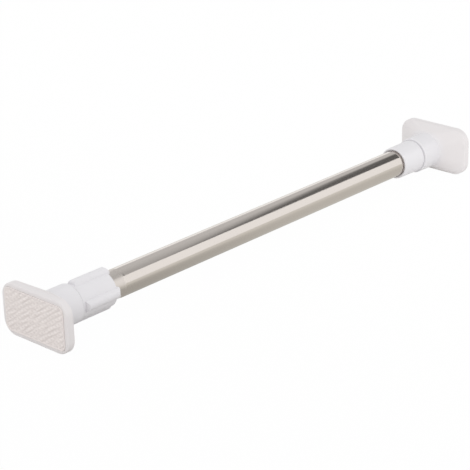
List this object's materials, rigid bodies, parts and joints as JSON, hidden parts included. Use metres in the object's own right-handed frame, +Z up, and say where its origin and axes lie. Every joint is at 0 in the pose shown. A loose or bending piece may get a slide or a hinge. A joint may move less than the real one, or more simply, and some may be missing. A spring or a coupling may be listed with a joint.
{
  "type": "spring tension rod",
  "caption": "Telescopic spring tension rod: a polished steel tube between two padded feet, with a sprung twist lock inside and a ribbed knob that screws one foot outwards.",
  "frame": {"origin": "centre of the rod's length, on the surface that the two feet's long edges stand on", "axes": "+X along the rod, from the foot with the ribbed knob to the foot with the collar; +Z up; +Y across the feet"},
  "size_m": [0.4616, 0.0676, 0.04],
  "materials": {
    "white_plastic": "satin moulded white",
    "grip_pad": "matt soft pad with a fine raised diamond pattern",
    "polished_steel": "polished stainless",
    "guide_plastic": "natural moulded",
    "lock_plastic": "black moulded",
    "plated_steel": "zinc plated",
    "spring_steel": "drawn wire"
  },
  "bodies": {
    "outer_tube": {"outer_tube": "polished_steel", "spindle_guide": "guide_plastic", "mouth_bush": "guide_plastic"},
    "knob": {"adjusting_knob": "white_plastic", "knob_bush": "guide_plastic", "thrust_washer": "guide_plastic"},
    "left_foot": {"left_foot": "white_plastic", "left_grip_pad": "grip_pad", "adjusting_spindle": "guide_plastic", "spindle_screw": "plated_steel", "spindle_washer": "plated_steel"},
    "lock_ring": {"lock_ring": "lock_plastic"},
    "lock_core": {"lock_core": "lock_plastic", "plunger_rod": "plated_steel", "stop_washer": "plated_steel", "stop_nut": "plated_steel", "tension_spring": "spring_steel"},
    "inner_tube": {"inner_tube": "polished_steel", "inner_end_plug": "guide_plastic", "spring_seat": "guide_plastic", "tube_collar": "white_plastic", "swivel_screw": "plated_steel", "swivel_washer": "plated_steel"},
    "right_foot": {"right_foot": "white_plastic", "right_grip_pad": "grip_pad"}
  },
  "joints": [
    {"name": "knob_turn", "type": "hinge", "parent": "outer_tube", "child": "knob", "pos_m": [-0.18, 0, 0.02], "axis": [1, 0, 0], "range_deg": [0, 1800]},
    {"name": "foot_advance", "type": "slide", "parent": "outer_tube", "child": "left_foot", "axis": [-1, 0, 0], "range_m": [0, 0.02]},
    {"name": "telescope", "type": "slide", "parent": "outer_tube", "child": "lock_ring", "axis": [1, 0, 0], "range_m": [0, 0.2]},
    {"name": "lock_twist", "type": "hinge", "parent": "lock_ring", "child": "lock_core", "pos_m": [-0.143, 0, 0.02], "axis": [1, 0, 0], "range_deg": [-20, 20]},
    {"name": "spring_press", "type": "slide", "parent": "lock_core", "child": "inner_tube", "axis": [-1, 0, 0], "range_m": [0, 0.015], "stiffness_N_per_m": 1500, "springref_m": -0.012, "deforming": ["tension_spring"]},
    {"name": "foot_swivel", "type": "hinge", "parent": "inner_tube", "child": "right_foot", "pos_m": [0.2, 0, 0.02], "axis": [1, 0, 0], "continuous": true}
  ],
  "couplings": [
    {"joint": "knob_turn", "follows": "foot_advance", "rad_per_m": 1570.8}
  ]
}
